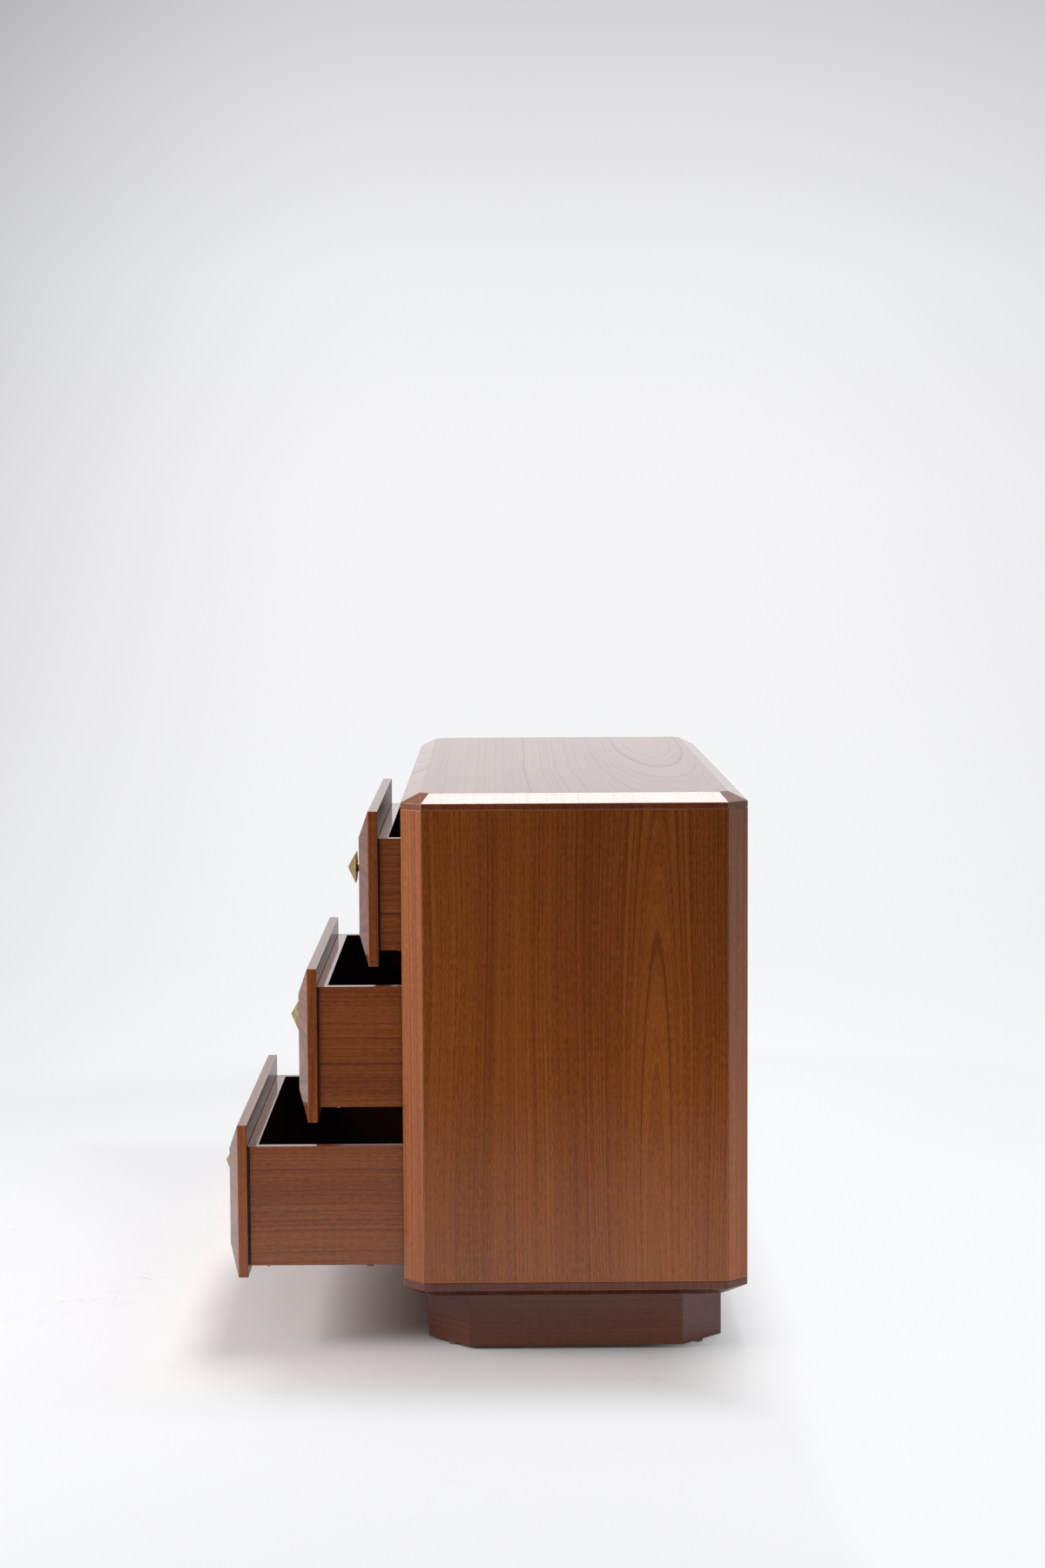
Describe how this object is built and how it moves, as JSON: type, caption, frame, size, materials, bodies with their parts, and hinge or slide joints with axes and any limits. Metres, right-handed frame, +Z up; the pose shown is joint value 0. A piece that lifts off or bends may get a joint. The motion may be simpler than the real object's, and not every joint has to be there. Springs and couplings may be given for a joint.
{
  "type": "commode chest",
  "caption": "Wide chest of drawers for clothes, with raised bevelled fronts, square pointed knobs, chamfered corner posts and a recessed plinth; each drawer slides out forwards.",
  "frame": {"origin": "on the floor at the centre of the case's plan, at the underside of the centre glide", "axes": "+X along the width, towards the column whose drawers stand open; -Y the front, the way the drawers slide out; +Z up"},
  "size_m": [1.27, 0.785, 0.816],
  "materials": {
    "case_veneer": "reddish brown veneer under gloss lacquer, straight grain",
    "post_wood": "paler straight-grained wood under gloss lacquer",
    "front_veneer": "reddish brown veneer under gloss lacquer",
    "drawer_wood": "brown wood under satin lacquer, grain along the drawer",
    "inner_wood": "plain dark brown wood, sealed",
    "plinth_wood": "dark stained wood under satin lacquer",
    "drawer_lining": "near-black lined panel, satin",
    "knob_brass": "antique satin brass",
    "glide_metal": "plain pressed metal"
  },
  "bodies": {
    "carcass": {"top_panel": "case_veneer", "base_panel": "case_veneer", "side_panel_left": "case_veneer", "side_panel_right": "case_veneer", "post_front_left": "post_wood", "post_back_left": "post_wood", "post_front_right": "post_wood", "post_back_right": "post_wood", "back_panel": "inner_wood", "partition": "inner_wood", "divider_lower": "inner_wood", "divider_upper": "inner_wood", "plinth_frame": "plinth_wood", "glide_front_left": "glide_metal", "glide_front_right": "glide_metal", "glide_back_left": "glide_metal", "glide_back_right": "glide_metal", "glide_centre": "glide_metal"},
    "left_lower_drawer": {"left_lower_front": "front_veneer", "left_lower_sub_front": "drawer_wood", "left_lower_side_inner": "drawer_wood", "left_lower_side_outer": "drawer_wood", "left_lower_bottom": "drawer_lining", "left_lower_back": "drawer_wood", "left_lower_knob": "knob_brass"},
    "left_middle_drawer": {"left_middle_front": "front_veneer", "left_middle_sub_front": "drawer_wood", "left_middle_side_inner": "drawer_wood", "left_middle_side_outer": "drawer_wood", "left_middle_bottom": "drawer_lining", "left_middle_back": "drawer_wood", "left_middle_knob": "knob_brass"},
    "left_upper_drawer": {"left_upper_front": "front_veneer", "left_upper_sub_front": "drawer_wood", "left_upper_side_inner": "drawer_wood", "left_upper_side_outer": "drawer_wood", "left_upper_bottom": "drawer_lining", "left_upper_back": "drawer_wood", "left_upper_knob": "knob_brass"},
    "right_lower_drawer": {"right_lower_front": "front_veneer", "right_lower_sub_front": "drawer_wood", "right_lower_side_inner": "drawer_wood", "right_lower_side_outer": "drawer_wood", "right_lower_bottom": "drawer_lining", "right_lower_back": "drawer_wood", "right_lower_knob": "knob_brass"},
    "right_middle_drawer": {"right_middle_front": "front_veneer", "right_middle_sub_front": "drawer_wood", "right_middle_side_inner": "drawer_wood", "right_middle_side_outer": "drawer_wood", "right_middle_bottom": "drawer_lining", "right_middle_back": "drawer_wood", "right_middle_knob": "knob_brass"},
    "right_upper_drawer": {"right_upper_front": "front_veneer", "right_upper_sub_front": "drawer_wood", "right_upper_side_inner": "drawer_wood", "right_upper_side_outer": "drawer_wood", "right_upper_bottom": "drawer_lining", "right_upper_back": "drawer_wood", "right_upper_knob": "knob_brass"}
  },
  "joints": [
    {"name": "left_lower_slide", "type": "slide", "parent": "carcass", "child": "left_lower_drawer", "axis": [0, -1, 0], "range_m": [0, 0.33]},
    {"name": "left_middle_slide", "type": "slide", "parent": "carcass", "child": "left_middle_drawer", "axis": [0, -1, 0], "range_m": [0, 0.33]},
    {"name": "left_upper_slide", "type": "slide", "parent": "carcass", "child": "left_upper_drawer", "axis": [0, -1, 0], "range_m": [0, 0.33]},
    {"name": "right_lower_slide", "type": "slide", "parent": "carcass", "child": "right_lower_drawer", "axis": [0, -1, 0], "range_m": [-0.241, 0.089]},
    {"name": "right_middle_slide", "type": "slide", "parent": "carcass", "child": "right_middle_drawer", "axis": [0, -1, 0], "range_m": [-0.1375, 0.1925]},
    {"name": "right_upper_slide", "type": "slide", "parent": "carcass", "child": "right_upper_drawer", "axis": [0, -1, 0], "range_m": [-0.0475, 0.2825]}
  ]
}
